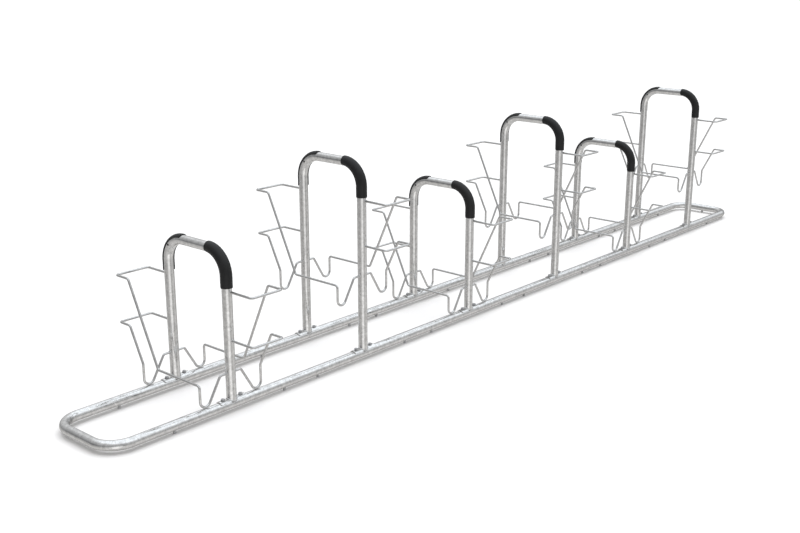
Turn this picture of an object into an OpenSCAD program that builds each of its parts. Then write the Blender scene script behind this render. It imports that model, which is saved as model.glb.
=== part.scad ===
// Two-height floor rack for bicycles: a ground ring of round tube carries upright hoops across
// it, low and high in turn, and each hoop holds two wheels on each side in bent-wire holders.
// Lengths are in millimetres. X runs along the rack, Y from the front rail to the rear rail and
// Z upwards from the floor. The origin is on the floor under the middle of the rack.

/* [Tube] */
// Outer diameter of the tube in the ring and the hoops
tube_d = 48.3; // [42.4:0.1:54]
// Wall of that tube
tube_wall = 2.9; // [2.3:0.1:3.6]

/* [Hoops] */
// Distance between neighbouring hoops
hoop_pitch = 900; // [780:10:1100]
// Overall height of a low hoop above the floor
low_height = 805; // [740:5:860]
// Overall height of a high hoop above the floor
high_height = 1075; // [980:5:1200]
// Distance between the two leg axes of a hoop, and between the two rails
leg_spacing = 425; // [400:5:480]
// Bend radius of a hoop at the tube's axis
hoop_bend_r = 118; // [100:0.5:140]

/* [Ground ring] */
// Distance from the outer hoops to the axis of the end tube
end_overhang = 680; // [500:10:800]
// Bend radius of the ring's corners at the tube's axis
corner_bend_r = 120; // [100:5:160]
// Straight length of an end tube between its bend and the rail
end_tangent = 60; // [20:5:120]

/* [Feet] */
// Clear height of the tubes above the floor
foot_height = 15; // [10:1:25]
// Diameter of a foot where it meets the tube
foot_top_d = 13; // [10:0.5:16]
// Diameter of a foot on the floor
foot_base_d = 16; // [12:0.5:22]
// Diameter of the foot's stem in the tube
foot_stem_d = 8; // [6:0.5:9.5]
// Length of that stem inside the tube
foot_stem_length = 9; // [6:0.5:14]
// Distance along the rail from a leg to the feet on its two sides
foot_offset = 335; // [240:5:370]

/* [Saddle plates] */
// Length of a saddle plate along the rail
plate_length = 156; // [140:1:190]
// Thickness of a saddle plate
plate_thickness = 5; // [3:0.5:7]
// Angle of the rail that a saddle plate covers
plate_wrap = 100; // [80:1:130]
// Rounding of a saddle plate's corners
plate_corner_r = 8; // [4:0.5:12]

/* [Screws] */
// Distance between the two screws of a saddle plate
screw_spacing = 106; // [98:1:112]
// Diameter of a screw's thread
screw_d = 10; // [8:0.5:12]
// Length of a screw under its head
screw_length = 25; // [22:1:30]
// Width of the hexagon head across its flats
head_width = 17; // [15:0.5:19]
// Height of the hexagon head
head_height = 6.4; // [5:0.2:8]
// Outer diameter of the washer
washer_d = 21; // [20:0.5:24]
// Thickness of the washer
washer_thickness = 2; // [1:0.1:2.5]
// Outer diameter of the threaded collar inside the rail
collar_d = 15; // [14:0.5:18]
// Depth of the threaded collar below the wall of the rail
collar_depth = 5; // [3:0.5:8]

/* [Wheel holders] */
// Diameter of the holder wire
wire_d = 12; // [8:0.5:14]
// Distance from the hoop's plane to the side bars
side_offset = 184; // [165:1:210]
// Bend radius of a wheel groove at the wire's axis
groove_bend_r = 30; // [24:1:34]
// Bend radius of every other bend at the wire's axis
wire_bend_r = 16; // [12:0.5:18]
// Height of the inner arms over the lowest point of a groove
groove_depth = 125; // [110:1:140]
// Slope of the groove's inner side
groove_slope = 59; // [55:0.5:65]
// Height of the bends at the top of the side bars over the lowest point of a groove
side_rise = 110; // [95:1:125]
// Height of a short wire's arm over the lowest point of a groove
short_arm_rise = 285; // [240:1:320]
// Distance from a leg's axis to the outer end of a short wire
short_arm_reach = 168; // [150:1:190]
// Level stretch at the outer end of a short wire
short_arm_flat = 81.5; // [60:0.5:95]
// Distance from a leg's axis to the outer end of a long wire
long_arm_reach = 171.5; // [150:0.5:190]
// Level stretch at the outer end of a long wire
long_arm_flat = 95.5; // [70:0.5:105]
// Distance from the rack's middle plane to the end of a long wire's level run
run_end = 94; // [60:1:120]
// Distance from the lower end of a bend cover down to a long wire's arm
long_arm_drop = 17.5; // [10:0.5:25]

/* [Bend covers] */
// Thickness of a bend cover
cover_thickness = 4.5; // [3:0.1:6]
// Length of a cover below the bend, along the leg
cover_tail = 54; // [40:1:65]
// Angle that a cover reaches round the tube towards the hoop's window
cover_inner_angle = 34; // [25:1:80]
// Angle that a cover reaches round the outside of the bend
cover_outer_angle = 150; // [120:1:160]
// Rounding of a cover's corners
cover_corner_r = 12; // [6:0.5:15]
// Diameter of the snap peg through the tube
peg_d = 7.5; // [6:0.5:10]
// How far the peg's head stands out of the tube's far side
peg_head = 1.5; // [1:0.1:3]

/* [Hidden] */
// Number of hoops along the rack
hoop_count = 6;
// Ends of the ring with a foot in their middle: -1 is the left end and 1 the right one
footed_ends = [1];
// Gap between a part that is pressed or clamped on and the tube under it
seat_gap = 0.15;
// Root gap between two pieces that are welded together
weld_gap = 0.2;
// Gap between a groove of a low hoop and the rail under it
rest_gap = 0.4;
// Radial clearance of a screw in its threaded collar
thread_gap = 0.1;
// Radial clearance of a screw in a saddle plate and in its washer
screw_gap = 0.5;
// Radial clearance of a peg or a stem in its hole
peg_gap = 0.25;
// Extra radius of a rod in its bends, where bending thickens it
bend_swell = 0.05;
// Length of a rod's straight run inside each bend that it meets
bend_lap = 0.3;
// Extra radius of a shell corner's round, which makes it cross the edges that it meets
corner_cross = 0.05;
// Overrun of every cut past the face that it leaves
cut = 1;
// Radius of the flat crown of a screw head, as a share of half its width
crown_share = 0.95;
// Slope of the chamfer round the crown of a screw head
crown_slope = 30;
// Place of a cover's peg round the bend, from the leg
peg_angle = 45;

tube_r = tube_d / 2;
bore_r = tube_r - tube_wall;
rail_y = leg_spacing / 2;
rail_z = foot_height + tube_r;
rail_top = foot_height + tube_d;
end_x = (hoop_count - 1) / 2 * hoop_pitch + end_overhang;
rail_half = end_x - corner_bend_r - end_tangent;
plate_inner_r = tube_r + seat_gap;
plate_outer_r = plate_inner_r + plate_thickness;
washer_z = rail_z + plate_outer_r + seat_gap;
head_z = washer_z + washer_thickness;
cover_inner_r = tube_r + seat_gap;
cover_outer_r = cover_inner_r + cover_thickness;
groove_z = rail_top + rest_gap + wire_d / 2;
tube_facets = 64;
wire_facets = 32;
hex_sides = 6;

steel = [0.76, 0.77, 0.78];
wire_steel = [0.7, 0.71, 0.72];
zinc = [0.66, 0.67, 0.69];
black_plastic = [0.14, 0.14, 0.15];
grey_plastic = [0.5, 0.5, 0.51];

// Places and heights of the hoops, counted from the left end; the first one is low
function hoop_x(place) = (place - (hoop_count + 1) / 2) * hoop_pitch;
function is_high(place) = place % 2 == 0;
function top_z(place) = (is_high(place) ? high_height : low_height) - tube_r;
function lift(place) = is_high(place) ? high_height - low_height : 0;

// Directions, turns and set-backs along a bent path
function unit(v) = v / norm(v);
function direction(path, i) = unit(path[i + 1] - path[i]);
function turn(path, i) = acos(direction(path, i - 1) * direction(path, i));
function setback(path, bends, i) =
    i == 0 || i == len(path) - 1 ? 0 : bends[i] * tan(turn(path, i) / 2);

// Moves its children to a point and points their Z axis along a direction
module aim(point, along) {
    translate(point)
        rotate([0, acos(along.z / norm(along)), atan2(along.y, along.x)])
            children();
}

// Quarter or other bend at corner i of a path
module path_bend(path, bend_r, d, i) {
    before = direction(path, i - 1);
    after = direction(path, i);
    angle = turn(path, i);
    axis = unit(cross(before, after));
    outward = unit(cross(before, axis));
    centre = path[i] - before * bend_r * tan(angle / 2) - outward * bend_r;
    lean = acos(axis.z);
    heading = atan2(axis.y, axis.x);
    local_x = [cos(heading) * cos(lean), sin(heading) * cos(lean), -sin(lean)];
    local_y = [-sin(heading), cos(heading), 0];
    translate(centre)
        rotate([0, lean, heading])
            rotate([0, 0, atan2(outward * local_y, outward * local_x)])
                rotate_extrude(angle = angle)
                    translate([bend_r, 0])
                        circle(d = d);
}

// Round rod along a path of points, bent at each inner point to its own radius. Its bends are a
// touch thicker than its straight lengths, and each length ends just inside them.
module rod(path, bends, d) {
    last = len(path) - 1;
    for (i = [0:last - 1]) {
        before = setback(path, bends, i) - (i > 0 ? bend_lap : 0);
        after = setback(path, bends, i + 1) - (i + 1 < last ? bend_lap : 0);
        start = path[i] + direction(path, i) * before;
        finish = path[i + 1] - direction(path, i) * after;
        aim(start, finish - start) cylinder(d = d, h = norm(finish - start));
    }
    for (i = [1:last - 1])
        path_bend(path, bends[i], d + 2 * bend_swell, i);
}

// Path with its two ends run on by a length
function run_on(path, by) = [
    for (i = [0:len(path) - 1])
        i == 0 ? path[0] - direction(path, 0) * by
        : i == len(path) - 1 ? path[i] + direction(path, i - 1) * by
        : path[i]
];

// Bent tube along a path, open at both ends
module bent_tube(path, bends) {
    difference() {
        rod(path, bends, tube_d, $fn = tube_facets);
        rod(run_on(path, cut), bends, 2 * bore_r, $fn = tube_facets);
    }
}

// Ring of the plane between two radii, over the angles from one to the other
module sector(inner_r, outer_r, from, to) {
    gap = 360 - (to - from);
    far = outer_r / cos(gap / 6) + cut;
    difference() {
        circle(r = outer_r, $fn = tube_facets);
        circle(r = inner_r, $fn = tube_facets);
        polygon(concat([[0, 0]], [for (k = [0:3]) far * [cos(to + gap * k / 3), sin(to + gap * k / 3)]]));
    }
}

// Cutter that rounds the corner of a shell. The corner is at zero, the shell's edge runs along
// Y and its end along X, and the shell stands off by about its radius along Z. The round crosses
// both at a small angle.
module corner_cutter(shell_r, corner_r) {
    translate([0, 0, shell_r / 2])
        linear_extrude(shell_r)
            difference() {
                translate([-cut, -cut]) square(corner_r + cut);
                translate([corner_r, corner_r])
                    circle(r = corner_r + corner_cross, $fn = tube_facets);
            }
}

// Cutters for both corners at the end of a shell round the Y axis that covers the angles from
// one to the other in the XZ plane. The end is at Y zero and the shell on the side of positive Y.
module end_cutters(shell_r, corner_r, from, to) {
    rotate([0, 90 - to, 0]) corner_cutter(shell_r, corner_r);
    rotate([0, 90 - from, 0]) mirror([1, 0, 0]) corner_cutter(shell_r, corner_r);
}

// Puts its children at a hoop, or there and turned half a turn
module at_hoop(place, turned = false) {
    translate([hoop_x(place), 0, 0])
        rotate(turned ? 180 : 0)
            children();
}

// Puts its children at every screw of the hoops' plates on one rail, with zero at the tube's axis
module at_screws(side) {
    for (place = [1:hoop_count], end = [-1, 1])
        translate([hoop_x(place) + end * screw_spacing / 2, side * rail_y, rail_z])
            children();
}

// Puts its children under every foot of one rail, on the floor
module at_rail_feet(side) {
    for (place = [1:hoop_count], end = [-1, 1])
        translate([hoop_x(place) + end * foot_offset, side * rail_y, 0])
            children();
}

// Puts its children under the foot of each end that has one, on the floor
module at_end_feet() {
    for (side = footed_ends)
        translate([side * end_x, 0, 0])
            children();
}

// Straight rail of the ring: its threaded collars are drawn down from the tube's own wall
module base_rail(side) {
    color(steel)
        difference() {
            union() {
                rail_rod(side, rail_half, bore_r, tube_r);
                intersection() {
                    at_screws(side)
                        translate([0, 0, bore_r - collar_depth])
                            cylinder(d = collar_d, h = collar_depth + tube_wall, $fn = wire_facets);
                    rail_rod(side, rail_half, 0, tube_r);
                }
            }
            at_screws(side)
                cylinder(d = screw_d + 2 * thread_gap, h = tube_d, $fn = wire_facets);
            at_rail_feet(side)
                cylinder(d = foot_stem_d + 2 * peg_gap, h = rail_z, $fn = wire_facets);
        }
}

// Straight round length along a rail's axis, hollow where an inner radius is given
module rail_rod(side, half, inner_r, outer_r) {
    translate([-half, side * rail_y, rail_z])
        rotate([0, 90, 0])
            difference() {
                cylinder(r = outer_r, h = 2 * half, $fn = tube_facets);
                if (inner_r > 0)
                    translate([0, 0, -cut])
                        cylinder(r = inner_r, h = 2 * half + 2 * cut, $fn = tube_facets);
            }
}

// End of the ring: one tube with two quarter bends, welded to both rails
module base_end(side) {
    path = [
        [side * rail_half, -rail_y, rail_z],
        [side * end_x, -rail_y, rail_z],
        [side * end_x, rail_y, rail_z],
        [side * rail_half, rail_y, rail_z]
    ];
    color(steel)
        difference() {
            bent_tube(path, [0, corner_bend_r, corner_bend_r, 0]);
            at_end_feet()
                cylinder(d = foot_stem_d + 2 * peg_gap, h = rail_z, $fn = wire_facets);
        }
}

// Hoop: two legs, two quarter bends and a top bar, coped to sit on the saddle plates
module hoop(place) {
    top = top_z(place);
    path = [[0, -rail_y, rail_z], [0, -rail_y, top], [0, rail_y, top], [0, rail_y, rail_z]];
    color(steel)
        at_hoop(place)
            difference() {
                bent_tube(path, [0, hoop_bend_r, hoop_bend_r, 0]);
                for (side = [-1, 1])
                    translate([-tube_d, side * rail_y, rail_z])
                        rotate([0, 90, 0])
                            cylinder(r = plate_outer_r + weld_gap, h = 2 * tube_d, $fn = tube_facets);
                for (turned = [false, true])
                    rotate(turned ? 180 : 0)
                        at_bend(place)
                            at_peg()
                                cylinder(d = peg_d + 2 * peg_gap, h = 2 * tube_d, center = true,
                                         $fn = wire_facets);
            }
}

// Axes of a hoop's front bend: X points away from the bend's centre along the level radius, Y up
// and Z to the left of the rack
module at_bend(place) {
    translate([0, hoop_bend_r - rail_y, top_z(place) - hoop_bend_r])
        rotate([90, 0, -90])
            children();
}

// Middle of a bend, where the snap peg crosses the tube
module at_peg() {
    rotate(peg_angle)
        translate([hoop_bend_r, 0, 0])
            children();
}

// Curved plates under the two legs of a hoop, each with two screw holes
module saddle_plates(place) {
    from = 90 - plate_wrap / 2;
    to = 90 + plate_wrap / 2;
    color(steel)
        at_hoop(place)
            for (side = [-1, 1])
                translate([0, side * rail_y, rail_z])
                    difference() {
                        rotate([0, 0, -90]) {
                            difference() {
                                translate([0, plate_length / 2, 0])
                                    rotate([90, 0, 0])
                                        linear_extrude(plate_length)
                                            sector(plate_inner_r, plate_outer_r, from, to);
                                for (end = [0, 1])
                                    mirror([0, end, 0])
                                        translate([0, -plate_length / 2, 0])
                                            end_cutters(plate_outer_r, plate_corner_r, from, to);
                            }
                        }
                        for (end = [-1, 1])
                            translate([end * screw_spacing / 2, 0, 0])
                                cylinder(d = screw_d + 2 * screw_gap, h = tube_d, $fn = wire_facets);
                    }
}

// Screws through all the saddle plates
module screws() {
    flat_r = head_width / 2;
    crown_r = flat_r * crown_share;
    color(zinc)
        for (side = [-1, 1])
            at_screws(side) {
                translate([0, 0, head_z - rail_z])
                    intersection() {
                        cylinder(r = flat_r / cos(180 / hex_sides), h = head_height, $fn = hex_sides);
                        cylinder(r1 = crown_r + head_height / tan(crown_slope), r2 = crown_r,
                                 h = head_height, $fn = tube_facets);
                    }
                translate([0, 0, head_z - rail_z - screw_length])
                    cylinder(d = screw_d, h = screw_length + head_height / 2, $fn = wire_facets);
            }
}

// Washers under all the screw heads
module washers() {
    color(zinc)
        for (side = [-1, 1])
            at_screws(side)
                translate([0, 0, washer_z - rail_z])
                    difference() {
                        cylinder(d = washer_d, h = washer_thickness, $fn = tube_facets);
                        translate([0, 0, -cut])
                            cylinder(d = screw_d + 2 * screw_gap, h = washer_thickness + 2 * cut,
                                     $fn = wire_facets);
                    }
}

// One foot: a tapered plug whose top follows the tube and whose stem sits in the tube's wall
module foot(along) {
    difference() {
        union() {
            cylinder(d1 = foot_base_d, d2 = foot_top_d, h = foot_height, $fn = wire_facets);
            translate([0, 0, foot_height])
                cylinder(d = foot_top_d, h = tube_r, $fn = wire_facets);
        }
        aim([0, 0, rail_z] - along * tube_d, along)
            cylinder(r = tube_r + seat_gap, h = 2 * tube_d, $fn = tube_facets);
    }
    translate([0, 0, foot_height / 2])
        cylinder(d = foot_stem_d, h = foot_height / 2 + tube_wall + foot_stem_length,
                 $fn = wire_facets);
}

// All the feet of the ring
module feet() {
    color(grey_plastic) {
        for (side = [-1, 1])
            at_rail_feet(side) foot([1, 0, 0]);
        at_end_feet() foot([0, 1, 0]);
    }
}

// Moulded C-shell over the front bend of a hoop, open to the right, with its snap peg
module bend_cover(place) {
    from = 90 - cover_outer_angle;
    to = 90 + cover_inner_angle;
    at_bend(place) {
        difference() {
            union() {
                rotate_extrude(angle = 90)
                    translate([hoop_bend_r, 0])
                        sector(cover_inner_r, cover_outer_r, from, to);
                translate([hoop_bend_r, 0, 0])
                    rotate([90, 0, 0])
                        linear_extrude(cover_tail)
                            sector(cover_inner_r, cover_outer_r, from, to);
            }
            translate([hoop_bend_r, -cover_tail, 0])
                end_cutters(cover_outer_r, cover_corner_r, from, to);
            rotate(90)
                translate([hoop_bend_r, 0, 0])
                    mirror([0, 1, 0])
                        end_cutters(cover_outer_r, cover_corner_r, from, to);
        }
        at_peg() {
            translate([0, 0, -tube_r])
                cylinder(d = peg_d, h = tube_r + cover_inner_r + cover_thickness / 2,
                         $fn = wire_facets);
            translate([0, 0, -tube_r - peg_head])
                cylinder(d1 = peg_d - peg_head, d2 = peg_d, h = peg_head, $fn = wire_facets);
        }
    }
}

module bend_cover_front(place) {
    color(black_plastic) at_hoop(place) bend_cover(place);
}

module bend_cover_rear(place) {
    color(black_plastic) at_hoop(place, true) bend_cover(place);
}

// Height of the corner where a side bar and the slope beside it would meet, over the lowest point
// of their groove, and distance from the hoop's plane to the top of that slope
groove_tip = groove_bend_r - groove_bend_r * tan((90 + groove_slope) / 2);
groove_start = side_offset - (groove_depth - groove_tip) / tan(groove_slope);

// Points of a wheel groove in the plane of the rear leg, on one side of the hoop, from the leg's
// axis to the top of the side bar
function groove(side, floor_z) = [
    [0, rail_y, floor_z + groove_depth],
    [side * groove_start, rail_y, floor_z + groove_depth],
    [side * side_offset, rail_y, floor_z + groove_tip],
    [side * side_offset, rail_y, floor_z + side_rise]
];

// Room that a wire leaves round both legs, where its ends are welded on
module leg_room() {
    for (side = [-1, 1])
        translate([0, side * rail_y, rail_z])
            cylinder(r = tube_r + weld_gap, h = high_height, $fn = tube_facets);
}

// Bent wire along a path, with the wide bend at the bottom of its groove
module wire(path) {
    bends = [for (i = [0:len(path) - 1]) i == 2 ? groove_bend_r : wire_bend_r];
    color(wire_steel)
        difference() {
            rod(path, bends, wire_d, $fn = wire_facets);
            leg_room();
        }
}

// Short wire of the left side: from the rear leg through its groove, up and out behind that leg
// and back to the leg's outer face
module short_wire(place) {
    floor_z = groove_z + lift(place);
    arm_z = floor_z + short_arm_rise;
    outer_y = rail_y + short_arm_reach;
    wire(concat(groove(-1, floor_z), [
        [-side_offset, outer_y - short_arm_flat, arm_z],
        [-side_offset, outer_y, arm_z],
        [0, outer_y, arm_z],
        [0, rail_y, arm_z]
    ]));
}

// Long wire of the right side: from the rear leg through its groove, level along the side, up
// and out in front of the front leg and back to that leg's outer face
module long_wire(place) {
    floor_z = groove_z + lift(place);
    arm_z = top_z(place) - hoop_bend_r - cover_tail - long_arm_drop;
    outer_y = -rail_y - long_arm_reach;
    wire(concat(groove(1, floor_z), [
        [side_offset, -run_end, floor_z + side_rise],
        [side_offset, outer_y + long_arm_flat, arm_z],
        [side_offset, outer_y, arm_z],
        [0, outer_y, arm_z],
        [0, -rail_y, arm_z]
    ]));
}

module short_wire_left(place) {
    at_hoop(place) short_wire(place);
}

module short_wire_right(place) {
    at_hoop(place, true) short_wire(place);
}

module long_wire_left(place) {
    at_hoop(place, true) long_wire(place);
}

module long_wire_right(place) {
    at_hoop(place) long_wire(place);
}

base_rail(-1);  // base_rail_front
base_rail(1);  // base_rail_rear
base_end(-1);  // base_end_left
base_end(1);  // base_end_right
feet();
screws();
washers();
for (place = [1:hoop_count]) {
    hoop(place);
    saddle_plates(place);
    bend_cover_front(place);
    bend_cover_rear(place);
    short_wire_left(place);
    short_wire_right(place);
    long_wire_left(place);
    long_wire_right(place);
}
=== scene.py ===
import math

import bmesh
import bpy
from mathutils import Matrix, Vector, noise


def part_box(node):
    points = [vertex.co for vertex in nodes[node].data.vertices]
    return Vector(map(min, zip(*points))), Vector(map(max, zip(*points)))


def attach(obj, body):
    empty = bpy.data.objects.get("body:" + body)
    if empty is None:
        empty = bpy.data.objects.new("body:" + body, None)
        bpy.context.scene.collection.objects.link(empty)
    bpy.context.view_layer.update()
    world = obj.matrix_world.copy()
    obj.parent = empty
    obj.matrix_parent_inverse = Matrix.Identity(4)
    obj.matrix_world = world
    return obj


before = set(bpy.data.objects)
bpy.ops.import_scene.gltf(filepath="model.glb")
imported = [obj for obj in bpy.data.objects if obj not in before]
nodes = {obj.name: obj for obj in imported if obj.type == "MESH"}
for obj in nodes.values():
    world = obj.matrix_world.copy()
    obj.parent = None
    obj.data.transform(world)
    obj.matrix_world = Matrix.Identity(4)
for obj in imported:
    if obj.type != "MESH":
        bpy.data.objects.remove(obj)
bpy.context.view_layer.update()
print("frame loaded:", len(nodes), "nodes")


# small helpers for materials

def newMaterial(name):
    material = bpy.data.materials.new(name)
    material.use_nodes = True
    tree = material.node_tree
    return material, tree, tree.nodes["Principled BSDF"]


def newGroup(name, inputs, outputs):
    tree = bpy.data.node_groups.new(name, "ShaderNodeTree")
    for label, value in inputs.items():
        socket = tree.interface.new_socket(name=label, in_out="INPUT", socket_type="NodeSocketFloat")
        socket.default_value = value
    for label in outputs:
        tree.interface.new_socket(name=label, in_out="OUTPUT", socket_type="NodeSocketFloat")
    return tree, tree.nodes.new("NodeGroupInput"), tree.nodes.new("NodeGroupOutput")


def placeGroup(tree, group, values):
    node = tree.nodes.new("ShaderNodeGroup")
    node.node_tree = group
    for label, value in values.items():
        node.inputs[label].default_value = value
    return node


def feed(tree, socket, value):
    # value: the output of another node, or a plain number or colour
    if isinstance(value, bpy.types.NodeSocket):
        tree.links.new(value, socket)
    else:
        socket.default_value = value


def mathNode(tree, operation, first, second):
    node = tree.nodes.new("ShaderNodeMath")
    node.operation = operation
    feed(tree, node.inputs[0], first)
    feed(tree, node.inputs[1], second)
    return node.outputs[0]


def mixNode(tree, share, first, second, kind="RGBA", blend="MIX"):
    node = tree.nodes.new("ShaderNodeMix")
    node.data_type = kind
    node.blend_type = blend
    feed(tree, node.inputs["Factor"], share)
    feed(tree, node.inputs["A"], first)
    feed(tree, node.inputs["B"], second)
    return node.outputs["Result"]


def mixShaders(tree, share, first, second):
    node = tree.nodes.new("ShaderNodeMixShader")
    feed(tree, node.inputs["Fac"], share)
    feed(tree, node.inputs[1], first)
    feed(tree, node.inputs[2], second)
    return node.outputs["Shader"]


def rangeNode(tree, source, given, wanted=(0.0, 1.0), smooth=False):
    node = tree.nodes.new("ShaderNodeMapRange")
    node.interpolation_type = "SMOOTHSTEP" if smooth else "LINEAR"
    feed(tree, node.inputs["Value"], source)
    for label, value in zip(("From Min", "From Max", "To Min", "To Max"), (*given, *wanted)):
        node.inputs[label].default_value = value
    return node.outputs["Result"]


def rampNode(tree, source, stops):
    ramp = tree.nodes.new("ShaderNodeValToRGB")
    band = ramp.color_ramp
    while len(band.elements) < len(stops):
        band.elements.new(0.5)
    for element, (place, colour) in zip(band.elements, stops):
        element.position = place
        element.color = (*colour, 1.0)
    feed(tree, ramp.inputs["Fac"], source)
    return ramp.outputs["Color"]


def noiseNode(tree, where, scale, detail, roughness=0.5):
    node = tree.nodes.new("ShaderNodeTexNoise")
    feed(tree, node.inputs["Vector"], where)
    feed(tree, node.inputs["Scale"], scale)
    node.inputs["Detail"].default_value = detail
    node.inputs["Roughness"].default_value = roughness
    return node


# camera

view = {
    "place": (-5.334, -3.993, 2.113),
    "heading": 48.54,         # degrees from +Y towards +X
    "down": 16.26,            # degrees under the horizon
    "lens": 49.73,
    "sensor": 36.0,
    "clip": (0.05, 400.0),    # nearest and farthest that it sees
}


def makeCamera():
    data = bpy.data.cameras.new("camera")
    data.lens = view["lens"]
    data.sensor_width = view["sensor"]
    data.clip_start, data.clip_end = view["clip"]
    obj = bpy.data.objects.new("camera", data)
    obj.location = view["place"]
    obj.rotation_euler = (math.radians(90.0 - view["down"]), 0.0, -math.radians(view["heading"]))
    bpy.context.scene.collection.objects.link(obj)
    bpy.context.scene.camera = obj


makeCamera()
print("camera placed")


# studio: a pale floor, an even lamp from above and a soft sky that the metal mirrors

studio = {
    "floorSize": 240.0,
    "floorColour": (0.9, 0.879, 0.864),
    "floorRoughness": 0.9,
    "shadeReach": 0.035,                  # how far the contact shade in the mirrored floor reaches
    "shadeDepth": 0.6,
    "backdrop": (1.0, 1.0, 1.0),
    "lampPlace": (0.0, 0.0, 4.0),
    "lampStrength": 1.25,
    "lampWidth": 80.0,                    # degrees
    "lampTilt": (1.0, 2.0),               # degrees about X and Y
    "skyAxis": (0.278, -0.088, 1.0),      # the sky brightens towards this direction
    "skyDetail": 512,                     # pixels of the map that light is drawn from
    "horizon": (-0.05, 0.03),             # sine of the height where the ground turns into the sky
    "sky": [                              # sine of the height against skyAxis, colour
        (-0.20, (0.28, 0.285, 0.29)),
        (0.00, (0.38, 0.385, 0.39)),
        (0.25, (0.49, 0.495, 0.50)),
        (0.52, (0.58, 0.59, 0.60)),
        (0.63, (0.82, 0.84, 0.86)),
        (0.72, (1.05, 1.095, 1.14)),
        (0.86, (1.19, 1.25, 1.31)),
    ],
    "ground": [                           # sine of the height, colour
        (-1.00, (0.66, 0.655, 0.645)),
        (-0.57, (0.67, 0.66, 0.65)),
        (-0.40, (0.60, 0.595, 0.585)),
        (-0.24, (0.52, 0.515, 0.51)),
        (-0.09, (0.43, 0.43, 0.43)),
        (0.00, (0.37, 0.37, 0.37)),
    ],
    "patches": [                          # direction, cosines where it starts and is full, added light
        ((-0.525, -0.742, -0.423), (0.84, 0.985), 0.46),
        ((0.36, 0.83, 0.42), (0.83, 0.97), 0.14),
        ((0.93, 0.36, 0.00), (0.78, 0.95), -0.14),
        ((-0.694, 0.594, 0.407), (0.86, 0.97), -0.07),
        ((0.725, -0.578, -0.375), (0.88, 0.98), 0.10),
        ((-0.878, 0.478, -0.10), (0.86, 0.97), -0.07),
    ],
}


def makeFloor():
    mesh = bpy.data.meshes.new("floor")
    half = studio["floorSize"] / 2.0
    corners = [(-half, -half, 0.0), (half, -half, 0.0), (half, half, 0.0), (-half, half, 0.0)]
    mesh.from_pydata(corners, [], [(0, 1, 2, 3)])
    obj = bpy.data.objects.new("floor", mesh)
    bpy.context.scene.collection.objects.link(obj)
    material, tree, paper = newMaterial("palePaper")
    paper.inputs["Base Color"].default_value = (*studio["floorColour"], 1.0)
    paper.inputs["Roughness"].default_value = studio["floorRoughness"]
    paper.inputs["Specular IOR Level"].default_value = 0.0
    # Gloss sees the sky's own ground through the floor, shaded where the rack stands close
    shade = tree.nodes.new("ShaderNodeAmbientOcclusion")
    shade.inputs["Distance"].default_value = studio["shadeReach"]
    clear = tree.nodes.new("ShaderNodeBsdfTransparent")
    white = (1.0, 1.0, 1.0, 1.0)
    feed(tree, clear.inputs["Color"], mixNode(tree, studio["shadeDepth"], white, shade.outputs["Color"]))
    gloss = tree.nodes.new("ShaderNodeLightPath").outputs["Is Glossy Ray"]
    surface = mixShaders(tree, gloss, paper.outputs["BSDF"], clear.outputs["BSDF"])
    feed(tree, tree.nodes["Material Output"].inputs["Surface"], surface)
    mesh.materials.append(material)


def makeLamp():
    # Even light from above for the floor and the plastics; the metal mirrors the sky alone
    data = bpy.data.lights.new("lamp", "SUN")
    data.energy = studio["lampStrength"]
    data.angle = math.radians(studio["lampWidth"])
    obj = bpy.data.objects.new("lamp", data)
    obj.location = studio["lampPlace"]
    obj.rotation_euler = (*map(math.radians, studio["lampTilt"]), 0.0)
    obj.visible_glossy = False
    obj.visible_camera = False
    bpy.context.scene.collection.objects.link(obj)


def gradeNode(tree, source, stops):
    # Colour ramp over any range of values; colours may be brighter than one
    low, high = stops[0][0], stops[-1][0]
    places = [((place - low) / (high - low), colour) for place, colour in stops]
    return rampNode(tree, rangeNode(tree, source, (low, high)), places)


def makeSky():
    world = bpy.data.worlds.new("studioSky")
    world.use_nodes = True
    tree = world.node_tree
    where = tree.nodes.new("ShaderNodeTexCoord").outputs["Generated"]

    def alignment(direction):
        # Cosine of the angle between the seen direction and this one
        dot = tree.nodes.new("ShaderNodeVectorMath")
        dot.operation = "DOT_PRODUCT"
        feed(tree, dot.inputs[0], where)
        feed(tree, dot.inputs[1], Vector(direction).normalized())
        return dot.outputs["Value"]

    height = alignment((0.0, 0.0, 1.0))
    above = gradeNode(tree, alignment(studio["skyAxis"]), studio["sky"])
    below = gradeNode(tree, height, studio["ground"])
    lit = mixNode(tree, rangeNode(tree, height, studio["horizon"], smooth=True), below, above)
    for direction, reach, amount in studio["patches"]:
        patch = rangeNode(tree, alignment(direction), reach, (0.0, amount), smooth=True)
        lit = mixNode(tree, 1.0, lit, patch, blend="ADD")

    light = tree.nodes["Background"]
    feed(tree, light.inputs["Color"], lit)
    light.inputs["Strength"].default_value = 1.0
    paper = tree.nodes.new("ShaderNodeBackground")      # what the camera sees beyond the floor
    paper.inputs["Color"].default_value = (*studio["backdrop"], 1.0)
    seen = tree.nodes.new("ShaderNodeLightPath").outputs["Is Camera Ray"]
    surface = mixShaders(tree, seen, light.outputs["Background"], paper.outputs["Background"])
    feed(tree, tree.nodes["World Output"].inputs["Surface"], surface)
    world.cycles.sampling_method = "MANUAL"
    world.cycles.sample_map_resolution = studio["skyDetail"]
    bpy.context.scene.world = world


makeFloor()
makeLamp()
makeSky()
bpy.context.scene.view_settings.view_transform = "Standard"
bpy.context.scene.view_settings.look = "None"
print("studio lit")


# shared surface effects: zinc bloom for the metals, mould grain for the plastics

bloomShape = {
    "warpScale": 60.0,        # waves that bend the crystals' edges
    "warpDetail": 2.0,
    "warpReach": 0.006,
    "cloudDetail": 5.0,
    "cloudRoughness": 0.6,
    "dripScale": 90.0,
    "dripDetail": 3.0,
    "crystalDullness": 0.5,   # share of the crystals in the roughness; clouds give the rest
}


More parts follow.
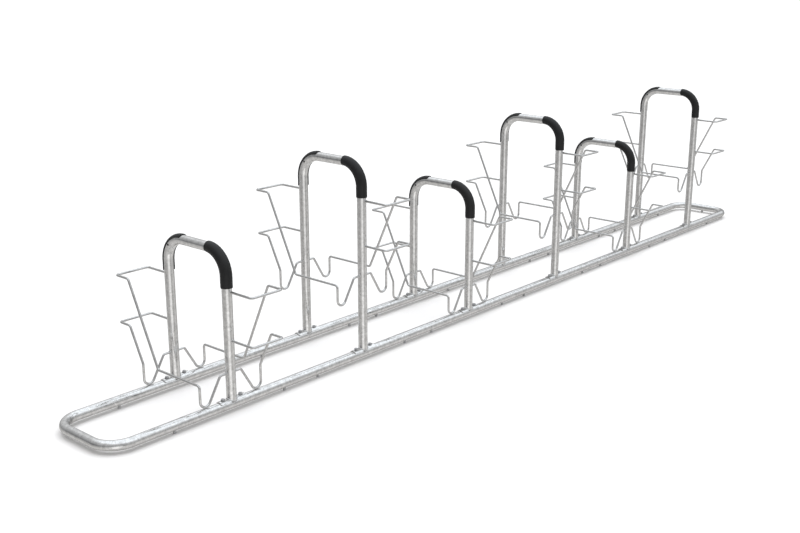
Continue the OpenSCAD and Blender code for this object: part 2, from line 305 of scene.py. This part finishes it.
def makeZincBloom():
    # Crystals and clouds of a hot-dip zinc coat
    group, given, result = newGroup(
        "zincBloom",
        {"Crystal Size": 0.012, "Cloud Size": 0.05, "Crystal Share": 0.45},
        ["Tone", "Roughness", "Height"],
    )
    where = group.nodes.new("ShaderNodeTexCoord").outputs["Object"]

    warp = noiseNode(group, where, bloomShape["warpScale"], bloomShape["warpDetail"])
    bent = group.nodes.new("ShaderNodeVectorMath")
    bent.operation = "MULTIPLY_ADD"
    feed(group, bent.inputs[0], warp.outputs["Color"])
    feed(group, bent.inputs[1], (bloomShape["warpReach"],) * 3)
    feed(group, bent.inputs[2], where)

    crystals = group.nodes.new("ShaderNodeTexVoronoi")
    crystals.feature = "F1"
    feed(group, crystals.inputs["Vector"], bent.outputs[0])
    crystalScale = mathNode(group, "DIVIDE", 1.0, given.outputs["Crystal Size"])
    feed(group, crystals.inputs["Scale"], crystalScale)
    facet = group.nodes.new("ShaderNodeSeparateColor")
    feed(group, facet.inputs["Color"], crystals.outputs["Color"])

    cloudScale = mathNode(group, "DIVIDE", 1.0, given.outputs["Cloud Size"])
    clouds = noiseNode(
        group, where, cloudScale, bloomShape["cloudDetail"], bloomShape["cloudRoughness"]
    ).outputs["Fac"]

    share = given.outputs["Crystal Share"]
    feed(group, result.inputs["Tone"], mixNode(group, share, clouds, facet.outputs["Red"], "FLOAT"))
    dull = mixNode(group, bloomShape["crystalDullness"], clouds, facet.outputs["Green"], "FLOAT")
    feed(group, result.inputs["Roughness"], dull)
    drips = noiseNode(group, where, bloomShape["dripScale"], bloomShape["dripDetail"])
    feed(group, result.inputs["Height"], drips.outputs["Fac"])
    return group


grainShape = {"wearDetail": 6.0}


def makeMouldGrain():
    # Fine pebbled skin of a moulded plastic, and faint cloudy wear
    group, given, result = newGroup(
        "mouldGrain", {"Grain Size": 0.0012, "Wear Size": 0.03}, ["Height", "Wear"]
    )
    where = group.nodes.new("ShaderNodeTexCoord").outputs["Object"]
    grain = group.nodes.new("ShaderNodeTexVoronoi")
    grain.feature = "SMOOTH_F1"
    feed(group, grain.inputs["Vector"], where)
    feed(group, grain.inputs["Scale"], mathNode(group, "DIVIDE", 1.0, given.outputs["Grain Size"]))
    feed(group, result.inputs["Height"], grain.outputs["Distance"])
    wearScale = mathNode(group, "DIVIDE", 1.0, given.outputs["Wear Size"])
    wear = noiseNode(group, where, wearScale, grainShape["wearDetail"])
    feed(group, result.inputs["Wear"], wear.outputs["Fac"])
    return group


zincBloom = makeZincBloom()
mouldGrain = makeMouldGrain()


# materials: dark and light are the ends of the mottling, and roughness is a range too

zinc = {
    "metallic": 1.0,
    "toneSpan": (0.2, 0.8),        # group values that give the dark and the light tone
    "dullSpan": (0.25, 0.75),      # group values that give the ends of the roughness
    "bumpDepth": 0.001,
}
plastic = {
    "metallic": 0.0,
    "toneSpan": (0.3, 0.7),
    "dullSpan": (0.25, 0.75),
    "bumpDepth": 0.0003,
}


def dressShader(tree, shader, base, plan, tone, dull, height):
    stops = list(zip(base["toneSpan"], (plan["dark"], plan["light"])))
    feed(tree, shader.inputs["Base Color"], rampNode(tree, tone, stops))
    feed(tree, shader.inputs["Roughness"], rangeNode(tree, dull, base["dullSpan"], plan["roughness"]))
    shader.inputs["Metallic"].default_value = base["metallic"]
    bump = tree.nodes.new("ShaderNodeBump")
    bump.inputs["Strength"].default_value = plan["bump"]
    bump.inputs["Distance"].default_value = base["bumpDepth"]
    feed(tree, bump.inputs["Height"], height)
    feed(tree, shader.inputs["Normal"], bump.outputs["Normal"])


def makeZincMaterial(plan):
    material, tree, shader = newMaterial(plan["name"])
    bloom = placeGroup(tree, zincBloom, plan["bloom"]).outputs
    dressShader(tree, shader, zinc, plan, bloom["Tone"], bloom["Roughness"], bloom["Height"])
    return material


def makePlasticMaterial(plan):
    material, tree, shader = newMaterial(plan["name"])
    grain = placeGroup(tree, mouldGrain, plan["grain"]).outputs
    dressShader(tree, shader, plastic, plan, grain["Wear"], grain["Wear"], grain["Height"])
    shader.inputs["Specular IOR Level"].default_value = plan["specular"]
    return material


tube = {
    "name": "galvanisedTube",
    "dark": (0.6, 0.596, 0.591),
    "light": (0.9, 0.896, 0.89),
    "roughness": (0.04, 0.18),
    "bump": 0.12,
    "bloom": {"Crystal Size": 0.012, "Cloud Size": 0.028, "Crystal Share": 0.26},
}
wire = {
    "name": "galvanisedWire",
    "dark": (0.56, 0.556, 0.551),
    "light": (0.74, 0.736, 0.731),
    "roughness": (0.1, 0.2),
    "bump": 0.08,
    "bloom": {"Crystal Size": 0.008, "Cloud Size": 0.03, "Crystal Share": 0.35},
}
fastener = {
    "name": "zincFastener",
    "dark": (0.42, 0.424, 0.435),
    "light": (0.58, 0.584, 0.595),
    "roughness": (0.18, 0.3),
    "bump": 0.04,
    "bloom": {"Crystal Size": 0.003, "Cloud Size": 0.01, "Crystal Share": 0.2},
}
bead = {
    "name": "galvanisedWeld",
    "dark": (0.605, 0.601, 0.596),
    "light": (0.825, 0.821, 0.816),
    "roughness": (0.34, 0.5),
    "bump": 0.15,
    "bloom": {"Crystal Size": 0.005, "Cloud Size": 0.015, "Crystal Share": 0.5},
}
cover = {
    "name": "blackCover",
    "dark": (0.008, 0.008, 0.0083),
    "light": (0.013, 0.013, 0.0133),
    "roughness": (0.4, 0.5),
    "specular": 0.32,
    "bump": 0.2,
    "grain": {"Grain Size": 0.0011, "Wear Size": 0.04},
}
foot = {
    "name": "greyFoot",
    "dark": (0.38, 0.38, 0.385),
    "light": (0.54, 0.54, 0.545),
    "roughness": (0.55, 0.7),
    "specular": 0.4,
    "bump": 0.3,
    "grain": {"Grain Size": 0.0009, "Wear Size": 0.01},
}

tubeMetal = makeZincMaterial(tube)
wireMetal = makeZincMaterial(wire)
fastenerMetal = makeZincMaterial(fastener)
beadMetal = makeZincMaterial(bead)
coverPlastic = makePlasticMaterial(cover)
footPlastic = makePlasticMaterial(foot)

finishes = [      # how a node's name starts, its material
    ("base_", tubeMetal),
    ("hoop_", tubeMetal),
    ("saddle_plates_", tubeMetal),
    ("short_wire_", wireMetal),
    ("long_wire_", wireMetal),
    ("bend_cover_", coverPlastic),
    ("screws", fastenerMetal),
    ("washers", fastenerMetal),
    ("feet", footPlastic),
]
for name, obj in nodes.items():
    for start, material in finishes:
        if name.startswith(start):
            for slot in obj.material_slots:
                slot.material = material
print("materials on", len(nodes), "nodes")


# sizes and places of the rack, from the frame and a few lengths that boxes don't tell

rack = {
    "hoops": 6,
    "wireRadius": 0.006,
    "grooveDepth": 0.125,       # from a groove's lowest point up to the arms beside it
    "bendRadius": 0.118,        # of a hoop, at the tube's axis
    "bendSwell": 0.00005,       # tubes and wires are this much thicker in their bends
}
up = Vector((0.0, 0.0, 1.0))
sides = (-1.0, 1.0)
railLow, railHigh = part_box("base_rail_rear")
rail = (railLow + railHigh) / 2.0
tubeRadius = (railHigh.z - railLow.z) / 2.0
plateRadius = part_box("saddle_plates_1")[1].z - rail.z      # outside of a plate, about its rail


def measureHoop(number):
    # Its middle along the rack, and the heights of its bar and of the wires' ends on its legs
    low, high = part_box(f"hoop_{number}")
    shortLow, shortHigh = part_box(f"short_wire_left_{number}")
    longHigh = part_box(f"long_wire_left_{number}")[1]
    thick = rack["wireRadius"] + rack["bendSwell"]
    return {
        "middle": (low.x + high.x) / 2.0,
        "bar": high.z - tubeRadius - rack["bendSwell"],
        "grooveArm": shortLow.z + thick + rack["grooveDepth"],
        "shortArm": shortHigh.z - thick,
        "longArm": longHigh.z - thick,
    }


hoops = {number: measureHoop(number) for number in range(1, rack["hoops"] + 1)}


# small helpers for new pieces

def turned(share):
    # Cosine and sine of a share of a full turn
    angle = 2.0 * math.pi * share
    return math.cos(angle), math.sin(angle)


def joinRings(bm, rings, closed):
    # rings: loops of points; faces join each loop to the next one, and the last to the first if closed
    rings = [[bm.verts.new(point) for point in ring] for ring in rings]
    pairs = list(zip(rings, rings[1:]))
    if closed:
        pairs.append((rings[-1], rings[0]))
    for here, there in pairs:
        for step in range(len(here)):
            after = (step + 1) % len(here)
            bm.faces.new((here[step], there[step], there[after], here[after]))
    return rings


def finishPiece(name, bm, material):
    bmesh.ops.recalc_face_normals(bm, faces=bm.faces)
    mesh = bpy.data.meshes.new(name)
    bm.to_mesh(mesh)
    bm.free()
    for face in mesh.polygons:
        face.use_smooth = True
    mesh.materials.append(material)
    obj = bpy.data.objects.new(name, mesh)
    bpy.context.scene.collection.objects.link(obj)
    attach(obj, "root")


# weld beads: ripples run round each one, and its size wavers

def rippleAt(share, bow, plan):
    return math.sin(2.0 * math.pi * (share * plan["ripples"] - plan["lean"] * bow))


def addBead(bm, stations, plan):
    # stations: (root point, direction up the first piece, direction out over the second piece)
    rings = []
    for place, (root, rise, out) in enumerate(stations):
        swell = 1.0 + plan["uneven"] * noise.noise(root * plan["unevenScale"])
        ring = []
        for step in range(plan["profile"] + 1):
            share = step / plan["profile"]
            bow = 1.0 - (2.0 * share - 1.0) ** 2
            ripple = rippleAt(place / len(stations), bow, plan)
            reach = plan["size"] * swell * (1.0 + plan["ripple"] * ripple * bow)
            angle = share * math.pi / 2.0
            ring.append(root + rise * reach * math.cos(angle) ** plan["flat"]
                        + out * reach * math.sin(angle) ** plan["flat"])
        ring.append(root - (rise + out) * plan["bury"])
        rings.append(ring)
    joinRings(bm, rings, True)


legWeld = {
    "size": 0.0038,
    "flat": 1.2,              # 1 gives a round face, 2 a straight one
    "bury": 0.0008,
    "profile": 6,
    "stations": 330,
    "ripples": 66,
    "ripple": 0.07,
    "lean": 0.45,             # by how much of a ripple its crown trails its ends
    "uneven": 0.22,
    "unevenScale": 90.0,
}


def makeLegWeld(bm, centre):
    stations = []
    for place in range(legWeld["stations"]):
        radial = Vector((*turned(place / legWeld["stations"]), 0.0))
        aside = tubeRadius * radial.y
        height = math.sqrt(plateRadius ** 2 - aside ** 2)
        facing = Vector((0.0, aside, height)).normalized()
        out = (radial - facing * radial.dot(facing)).normalized()
        stations.append((centre + radial * tubeRadius + up * height, up, out))
    addBead(bm, stations, legWeld)


wireWeld = {
    "size": 0.0032,
    "flat": 1.1,
    "bury": 0.0008,
    "profile": 5,
    "stations": 84,
    "ripples": 14,
    "ripple": 0.09,
    "lean": 0.45,
    "uneven": 0.35,
    "unevenScale": 160.0,
}


def makeWireWeld(bm, axisPoint, along):
    # axisPoint is on the leg's axis, and the wire leaves the leg in the direction along
    side = along.cross(up)
    stations = []
    for place in range(wireWeld["stations"]):
        level, steep = turned(place / wireWeld["stations"])
        across = side * level + up * steep
        aside = rack["wireRadius"] * level
        depth = math.sqrt(tubeRadius ** 2 - aside ** 2)
        facing = (along * depth + side * aside).normalized()
        out = (across - facing * across.dot(facing)).normalized()
        stations.append((axisPoint + across * rack["wireRadius"] + along * depth, along, out))
    addBead(bm, stations, wireWeld)


def wireEnds(hoop):
    # Where its wires are welded to its legs: a point on the leg's axis and the way out
    for turn in sides:
        leg = Vector((hoop["middle"], turn * rail.y, 0.0))
        for side in sides:
            yield leg + up * hoop["grooveArm"], Vector((side, 0.0, 0.0))
        for height in (hoop["shortArm"], hoop["longArm"]):
            yield leg + up * height, Vector((0.0, turn, 0.0))


ringWeld = {
    "width": 0.006,
    "height": 0.00045,
    "bury": 0.0002,
    "profile": 10,
    "stations": 300,
    "ripples": 60,
    "ripple": 0.16,
    "lean": 0.5,
    "uneven": 0.3,
    "unevenScale": 90.0,
}


def makeRingWeld(bm, centre):
    rings = []
    for place in range(ringWeld["stations"]):
        share = place / ringWeld["stations"]
        radial = Vector((0.0, *turned(share)))
        foot = centre + radial * tubeRadius
        swell = 1.0 + ringWeld["uneven"] * noise.noise(foot * ringWeld["unevenScale"])
        ring = []
        for step in range(ringWeld["profile"] + 1):
            across = 2.0 * step / ringWeld["profile"] - 1.0
            bow = 1.0 - across ** 2
            ripple = 1.0 + ringWeld["ripple"] * rippleAt(share, bow, ringWeld)
            height = ringWeld["height"] * swell * bow * ripple - ringWeld["bury"]
            aside = across * swell * ringWeld["width"] / 2.0
            ring.append(foot + radial * height + Vector((aside, 0.0, 0.0)))
        rings.append(ring)
    joinRings(bm, rings, True)


for number, hoop in hoops.items():
    bm = bmesh.new()
    for side in sides:
        makeLegWeld(bm, Vector((hoop["middle"], side * rail.y, rail.z)))
    finishPiece(f"leg_welds_{number}", bm, beadMetal)
    bm = bmesh.new()
    for point, along in wireEnds(hoop):
        makeWireWeld(bm, point, along)
    finishPiece(f"wire_welds_{number}", bm, beadMetal)
bm = bmesh.new()
for end in sides:
    for side in sides:
        makeRingWeld(bm, Vector((end * railHigh.x, side * rail.y, rail.z)))
finishPiece("ring_welds", bm, tubeMetal)
print("weld beads laid")


# domed heads of the covers' snap pegs, on the open side of each cover

pegHead = {
    "radius": 0.0053,
    "height": 0.0023,
    "bury": 0.0009,
    "fullness": 0.6,          # under 1 makes the dome's shoulder fuller
    "turns": 40,
    "steps": 8,
}


def makePegHead(bm, centre, out):
    side = out.cross(up)
    rings = []
    for step in range(pegHead["steps"]):
        angle = step / pegHead["steps"] * math.pi / 2.0
        reach = pegHead["radius"] * math.cos(angle) ** pegHead["fullness"]
        height = pegHead["height"] * math.sin(angle)
        ring = []
        for place in range(pegHead["turns"]):
            level, steep = turned(place / pegHead["turns"])
            ring.append(centre + (up * level + side * steep) * reach + out * height)
        rings.append(ring)
    rings.insert(0, [point - out * pegHead["bury"] for point in rings[0]])
    rings = joinRings(bm, rings, False)
    bm.faces.new(rings[0])
    bm.faces.new(rings[-1])


inset = rack["bendRadius"] * (1.0 - math.sqrt(0.5))      # a peg sits half way round its bend
for number, hoop in hoops.items():
    bm = bmesh.new()
    for side in sides:
        x = hoop["middle"] - side * tubeRadius
        centre = Vector((x, side * (rail.y - inset), hoop["bar"] - inset))
        makePegHead(bm, centre, Vector((-side, 0.0, 0.0)))
    finishPiece(f"peg_heads_{number}", bm, coverPlastic)
print("peg heads set")
